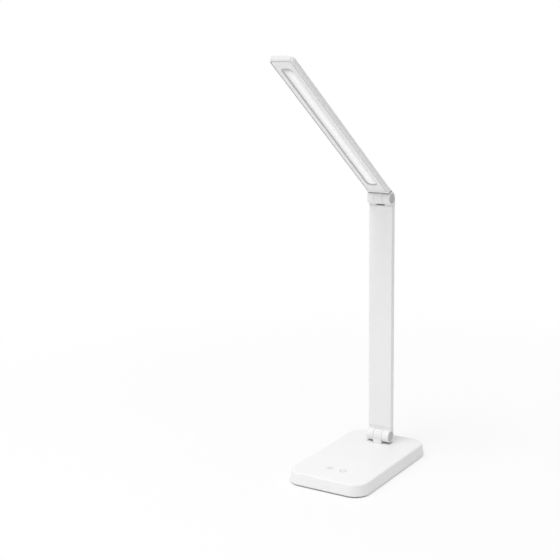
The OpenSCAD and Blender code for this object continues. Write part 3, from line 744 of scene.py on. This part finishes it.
# Screw heads with a cross recess; each keeps its width down to the rim's depth
yokeScrew = {"head": 1.95, "rim": 0.15, "headDepth": 0.95, "shank": 1, "length": 4.5,
             "recess": 1.15, "slot": 0.28, "depth": 0.7}
baseScrew = {"head": 2.35, "rim": 1, "headDepth": 1, "shank": 1.3, "length": 9.5,
             "recess": 1.4, "slot": 0.35, "depth": 0.7, "spot": (36.35, 68.35, 1.65)}


# Face height = -depth * smooth(slot - |u|) * smooth(recess - |v|), the deeper of two crossed
# slots; its rings lie close over the cross and wider out to the rim
def screwSurface(s):
    steps, slotBlur, endBlur = 48, 0.16, 0.3
    recess, slot, shank = s["recess"], s["slot"], s["shank"]
    angle = np.linspace(0, 2 * np.pi, steps, endpoint=False)
    radius = np.concatenate([np.linspace(0, recess * 1.15, 14),
                             np.linspace(recess * 1.3, s["head"], 4)])
    u, v = radius[:, None] * np.cos(angle), radius[:, None] * np.sin(angle)

    def smooth(q, width):
        t = np.clip(q / width + 0.5, 0, 1)
        return t * t * (3 - 2 * t)

    cross = np.maximum(smooth(slot - abs(u), slotBlur) * smooth(recess - abs(v), endBlur),
                       smooth(slot - abs(v), slotBlur) * smooth(recess - abs(u), endBlur))
    face = np.stack([-s["depth"] * cross, u, v], -1)
    body = turned([(s["head"], -s["rim"]), (shank, -s["headDepth"]), (shank, -s["length"]),
                   (0, -s["length"])], steps)
    return np.concatenate([face, body])


def makeScrews(name, s, turn, spots, body, node):
    one = screwSurface(s) @ turn
    mesh = surfaceMesh(name, [(one + np.array(spot), False) for spot in spots])
    finishPiece(name, mesh, body, "steel", steel, node)


faceBack = np.array([(0, 1, 0), (1, 0, 0), (0, 0, 1)], float)
faceDown = np.array([(0, 0, -1), (1, 0, 0), (0, 1, 0)], float)
yokeSpots = [lowerPin + spot for spot in tubeScrews]
side, end, level = baseScrew["spot"]
baseSpots = [(x, y, level) for x in (-side, side) for y in (-end, end)]
makeScrews("YokeScrews", yokeScrew, faceBack, yokeSpots, "arm", "yoke_screws")
makeScrews("BaseScrews", baseScrew, faceDown, baseSpots, "base", "base_screws")
print("arm made")

# The light bar, drawn with z along it and y towards its outer face
lightBar = {
    "width": 26, "seam": 12, "tip": 250, "corner": 5, "under": 1.2, "outer": 6.6,
    "outerEdge": 0.7, "underEdge": 1.0, "lipEdge": 0.25, "side": 1.8, "wall": 1,
    "spare": 8, "spareCorner": 0.5,  # what is made before the seam and then cut off again
    "cutter": (40, 6, -4, 12),  # width, reach behind the spare piece, lowest and highest
    "lap": 0.5, "lipLap": 0.08,
    "endShade": 0.32, "endDepth": 1.2, "endFrom": 0.4,  # painted shade that greys the tip's end face
    "seamShade": 0.8, "seamDepth": 2, "seamSlack": 0.02,
}


# Rows from inside the outer face, down the side wall, round its lip and back over the outer face
def makeShell(b):
    side, lip, under = b["side"], b["lipEdge"], b["under"]
    start = b["seam"] - b["spare"]
    ceiling, flat = b["outer"] - b["wall"], b["outerEdge"] + b["lap"]
    rows = [(side, ceiling, 0), (side, ceiling, 0.6), (side + b["lap"], ceiling, 1),
            (side, ceiling, 1), (side, under + lip, 1), (side - lip * 0.3, under + lip * 0.3, 1),
            (side - lip, under, 1), (side - lip - b["lipLap"], under, 1),
            *edgeRows(0, under + b["underEdge"], b["underEdge"], down=True, steps=6),
            *edgeRows(0, b["outer"] - b["outerEdge"], b["outerEdge"], steps=6),
            (flat, b["outer"], 1), (flat, b["outer"], 0.6), (flat, b["outer"], 0)]
    grid = levelled(b["width"], start, b["tip"], b["spareCorner"], b["corner"], rows,
                    arc=12, side=12)
    mesh = surfaceMesh("bar", [(inHead(upright(grid)), False)])
    wide, reach, low, high = b["cutter"]
    boxRows = [(0, low, 0), (0, low, 1), (0, high, 1), (0, high, 0)]
    box = levelled(wide, start - reach, b["seam"], hair, hair, boxRows, arc=1, side=1)
    mesh = carved(mesh, [(inHead(upright(box)), False)])
    # Painted shade along the seam beside the bezel, and a fainter painted shade over the tip's end
    # face
    x, y, z = placesFrom(mesh, upperPin, headLean)
    half, corner = b["width"] / 2, b["corner"]
    a, c = np.abs(x) - half + corner, z - b["tip"] + corner
    inset = np.where((a > 0) & (c > 0), corner - np.hypot(a, c), corner - np.maximum(a, c))
    atEnd = (z > b["tip"] - b["endDepth"]) & (y > under + b["endFrom"])
    inSeam = (inset > side - lip - b["seamSlack"]) & (y < under + b["seamDepth"])
    keepPaintedShade(mesh, np.where(atEnd, b["endShade"], b["seamShade"] * inSeam))
    finishPiece("BarShell", mesh, "head", "white_plastic", white, "head_shell")


makeShell(lightBar)

bezel = {
    "width": 22.1, "start": 12.05, "end": 248.05, "startCorner": 0.3, "corner": 3.05,
    "face": 1.2, "back": 2.4, "edge": 0.3, "lap": 0.3,
    "window": (13, 24, 237, 5),  # width, start, end and corner
    "flare": 1.0, "windowEdge": 0.25,
    "slopeShade": 0.5, "seamShade": 0.8, "shadeStart": 0.06,
}


# A frame: rows of the outside outline, then rows of the window's outline, closed into a ring
# The slope runs from the window's edge at the face to the flare inside it at the back
def makeBezel(b):
    e, w, face, back = b["edge"], b["windowEdge"], b["face"], b["back"]
    outside = [(0, back, 1), *edgeRows(0, face + e, e, down=True)[::-1], (e + b["lap"], face, 1)]
    down = np.linspace(w / (back - face), 1, 4)
    inside = [(-w - b["lap"], face, 1), (-w, face, 1), (-w * 0.25, face + w * 0.2, 1),
              *[(b["flare"] * t, face + (back - face) * t, 1) for t in down]]
    width, start, end, corner = b["window"]
    outer = levelled(b["width"], b["start"], b["end"], b["startCorner"], b["corner"], outside,
                     arc=12, side=12)
    inner = levelled(width, start, end, corner, corner, inside, arc=12, side=12)
    mesh = surfaceMesh("bezel", [(inHead(upright(np.concatenate([outer, inner]))), True)])
    # Painted shade on the window's slope and round the frame's outside edge, starting just behind
    # the face
    x, y, z = placesFrom(mesh, upperPin, headLean)
    onSlope = (np.abs(x) < width / 2 + 1) & (z > start - 1) & (z < end + 1)
    shade = np.where(onSlope, b["slopeShade"], b["seamShade"])
    keepPaintedShade(mesh, np.clip((y - face) / b["shadeStart"], 0, 1) * shade)
    finishPiece("Bezel", mesh, "head", "white_plastic", white, "head_bezel")


makeBezel(bezel)

diffuser = {"width": 19, "start": 21, "end": 240, "corner": 5, "face": 2.4, "back": 3.4,
            "edge": 0.15, "lap": 2}


# Rows of one outline, from the middle of the lit face round the edge to the middle of the back
def makeDiffuser(d):
    e, lap, face, back, corner = d["edge"], d["lap"], d["face"], d["back"], d["corner"]
    rows = [(0, face, 0), (lap, face, 1), *edgeRows(0, face + e, e, down=True, steps=2),
            *edgeRows(0, back - e, e, steps=2), (lap, back, 1), (0, back, 0)]
    grid = levelled(d["width"], d["start"], d["end"], corner, corner, rows, arc=8, side=12)
    mesh = surfaceMesh("diffuser", [(inHead(upright(grid)), False)])
    finishPiece("Diffuser", mesh, "head", "diffuser_opal", opal, "diffuser")


makeDiffuser(diffuser)
print("light bar made")

# The socket's rolled steel shell at the back of the base
socket = {"width": 8.9, "height": 3.2, "skin": 0.3, "length": 7.4, "floor": 1,
          "mouth": 77.62, "level": 9.2}


# Rows along y: up the outside, round the lip as (e + e cos a, e sin a), and down the hollow
def makeSocket(s):
    w, h, skin, y, length = s["width"], s["height"], s["skin"], s["mouth"], s["length"]
    e = skin / 2
    lip = [(e * (1 + np.cos(a)), y - e + e * np.sin(a), 1) for a in np.linspace(np.pi, 0, 7)]
    floor = y - length + s["floor"]
    rows = [(0, y - length, 0), (0, y - length, 1), *lip, (skin, floor, 1), (skin, floor, 0)]
    bend = h / 2 - hair
    grid = levelled(w, -h / 2, h / 2, bend, bend, rows, arc=12, side=3)
    mesh = surfaceMesh("socket", [(upright(grid) + (0, 0, s["level"]), False)])
    finishPiece("SocketShell", mesh, "base", "socket_steel", shellSteel, "power_socket")


makeSocket(socket)

# The two printed key marks: a sun and a power sign
keyMark = {"side": 8, "front": 48, "radius": 4, "line": 0.7, "top": 14.2, "height": 0.03,
           "sunk": 0.05, "sun": 0.36, "rays": 8, "rayStart": 0.7, "powerArc": (118, 422)}


# A stroke: points p(t) of a path, widened by +-line / 2 along its normal, from just under the
# surface to just over it
def stroke(path, line, z0, z1, closed=False):
    ahead = np.roll(path, -1, 0) - np.roll(path, 1, 0)
    if not closed:
        ahead[0], ahead[-1] = path[1] - path[0], path[-1] - path[-2]
    ahead /= np.linalg.norm(ahead, axis=1)[:, None]
    out = np.column_stack([ahead[:, 1], -ahead[:, 0]]) * line / 2
    corners = [(path + out, z0), (path + out, z1), (path - out, z1), (path - out, z0)]
    rows = np.stack([np.column_stack([p, np.full(len(p), z)]) for p, z in corners], 1)
    if not closed:
        rows = np.concatenate([rows[:1].mean(1, keepdims=True).repeat(4, 1), rows,
                               rows[-1:].mean(1, keepdims=True).repeat(4, 1)])
    return rows, closed


# (r cos t, r sin t), t from start to end in degrees
def arcPath(radius, start, end, steps=40, closed=False):
    t = np.radians(np.linspace(start, end, steps, endpoint=not closed))
    return np.column_stack([radius * np.cos(t), radius * np.sin(t)])


def makeMarks(k):
    z0, z1, line, r = k["top"] - k["sunk"], k["top"] + k["height"], k["line"], k["radius"]
    sun = np.array([-k["side"], -k["front"], 0])
    power = np.array([k["side"], -k["front"], 0])
    strokes = [(sun, *stroke(arcPath(r * k["sun"], 0, 360, closed=True), line, z0, z1, True))]
    for angle in np.radians(np.arange(k["rays"]) * 360 / k["rays"]):
        ray = np.linspace(r * k["rayStart"], r, 4)[:, None] * (np.cos(angle), np.sin(angle))
        strokes.append((sun, *stroke(ray, line, z0, z1)))
    strokes.append((power, *stroke(arcPath(r - line, *k["powerArc"]), line, z0, z1)))
    strokes.append((power, *stroke(np.linspace((0, line / 2), (0, r), 4), line, z0, z1)))
    mesh = surfaceMesh("marks", [(rows + spot, closed) for spot, rows, closed in strokes])
    finishPiece("KeyMarks", mesh, "base", "mark_grey", printGrey, "key_marks")


makeMarks(keyMark)
print("socket and marks made")

# The hidden nodes keep their shapes and get their materials
hiddenFinish = {
    "ballast_plate": steel, "neck_screws": steel, "lower_pin": steel, "lower_nut": steel,
    "lower_washers": steel, "upper_pin": steel, "upper_nut": steel, "upper_washers": steel,
    "battery_pack": foil, "control_board": greenBoard, "socket_board": greenBoard,
    "board_parts": blackPlastic, "socket_tongue": blackPlastic, "touch_pads": copper,
    "base_cable": cableGrey, "power_cable": cableGrey, "battery_lead": cableGrey,
    "arm_cable": cableGrey, "head_cable": cableGrey, "lamp_board": whiteBoard, "leds": phosphor,
}
for node, finish in hiddenFinish.items():
    for materialSlot in frame["nodes"][node].material_slots:
        materialSlot.material = finish

# Floor, light and background
studio = {
    "floorSize": 14000, "floorTone": 0.9,
    # metres from the lamp where white paper starts and where it has filled in, and its least share
    "fade": (0.12, 0.75, 0.72),
    # half sides of a rectangle under the base, with nothing filled in within the corner of it
    "underBase": (0.0285, 0.061), "underCorner": 0.0172, "underBlur": 0.001,
    "surround": 0.55,
    "aim": (0, 0, 0.2),
    "lamps": {
        "key": {"place": (-1.1, -1.25, 1.7), "size": 1.3, "watts": 9.6},
        "top": {"place": (0.1, 0.2, 1.9), "size": 1.6, "watts": 5.5},
        "over": {"place": (-0.1, -0.75, 1.7), "size": 0.6, "watts": 9.2},
        "low": {"place": (-0.3, -0.7, 0.15), "size": 0.25, "watts": 0.12},
    },
}


def lookedAt(tree):
    ray = addNode(tree, "ShaderNodeLightPath").outputs
    seen = calc(tree, "ADD", ray["Is Camera Ray"], ray["Is Glossy Ray"])
    return calc(tree, "ADD", seen, ray["Is Transmission Ray"], use_clamp=True)


# The paper looks whiter the farther it lies from the lamp, and keeps the shadow close to it
def makeFloor(s):
    half = s["floorSize"] / 2 * mm
    mesh = bpy.data.meshes.new("Floor")
    corners = [(-half, -half, 0), (half, -half, 0), (half, half, 0), (-half, half, 0)]
    mesh.from_pydata(corners, [], [(0, 1, 2, 3)])
    floor = linkMesh("Floor", mesh)
    material = bpy.data.materials.new("plain floor")
    material.use_nodes = True
    tree = material.node_tree
    tree.nodes.clear()
    place = addNode(tree, "ShaderNodeTexCoord").outputs["Object"]
    near, far, least = s["fade"]
    fill = ranged(tree, vectorCalc(tree, "LENGTH", place), least, 1, near, far)
    fromBase = vectorCalc(tree, "ABSOLUTE", place)
    fromBase = vectorCalc(tree, "SUBTRACT", fromBase, (*s["underBase"], 0))
    fromBase = vectorCalc(tree, "MAXIMUM", fromBase, (0, 0, 0))
    corner, blur = s["underCorner"], s["underBlur"]
    beyond = vectorCalc(tree, "LENGTH", fromBase)
    fill = calc(tree, "MULTIPLY", fill, ranged(tree, beyond, 0, 1, corner - blur, corner + blur))
    share = calc(tree, "MULTIPLY", lookedAt(tree), fill)
    matt = addNode(tree, "ShaderNodeBsdfDiffuse", {"Color": (s["floorTone"],) * 3 + (1,)})
    paper = addNode(tree, "ShaderNodeEmission", {"Strength": 1.0})
    both = addNode(tree, "ShaderNodeMixShader", {0: share, 1: matt.outputs[0], 2: paper.outputs[0]})
    addNode(tree, "ShaderNodeOutputMaterial", {"Surface": both.outputs[0]})
    mesh.materials.append(material)


def makeStudio(s):
    makeFloor(s)
    world = bpy.data.worlds.new("World")
    bpy.context.scene.world = world
    world.use_nodes = True
    tree = world.node_tree
    tree.nodes.clear()
    pure = (1, 1, 1, 1)
    around = addNode(tree, "ShaderNodeBackground", {"Color": pure, "Strength": s["surround"]})
    behind = addNode(tree, "ShaderNodeBackground", {"Color": pure, "Strength": 1.0})
    both = {0: lookedAt(tree), 1: around.outputs[0], 2: behind.outputs[0]}
    mix = addNode(tree, "ShaderNodeMixShader", both)
    addNode(tree, "ShaderNodeOutputWorld", {"Surface": mix.outputs[0]})

    for name, lamp in s["lamps"].items():
        light = bpy.data.lights.new(name, "AREA")
        light.energy, light.size, light.shape = lamp["watts"], lamp["size"], "DISK"
        thing = bpy.data.objects.new(name, light)
        bpy.context.scene.collection.objects.link(thing)
        toLamp = np.array(lamp["place"]) - s["aim"]
        back = toLamp / np.linalg.norm(toLamp)
        side = np.cross((0, 0, 1), back)
        side /= np.linalg.norm(side)
        pose = np.eye(4)
        pose[:3] = np.stack([side, np.cross(back, side), back, lamp["place"]], 1)
        thing.matrix_world = Matrix(pose)


makeStudio(studio)
bpy.context.scene.view_settings.view_transform = "Standard"
print("studio made")

bpy.context.view_layer.update()
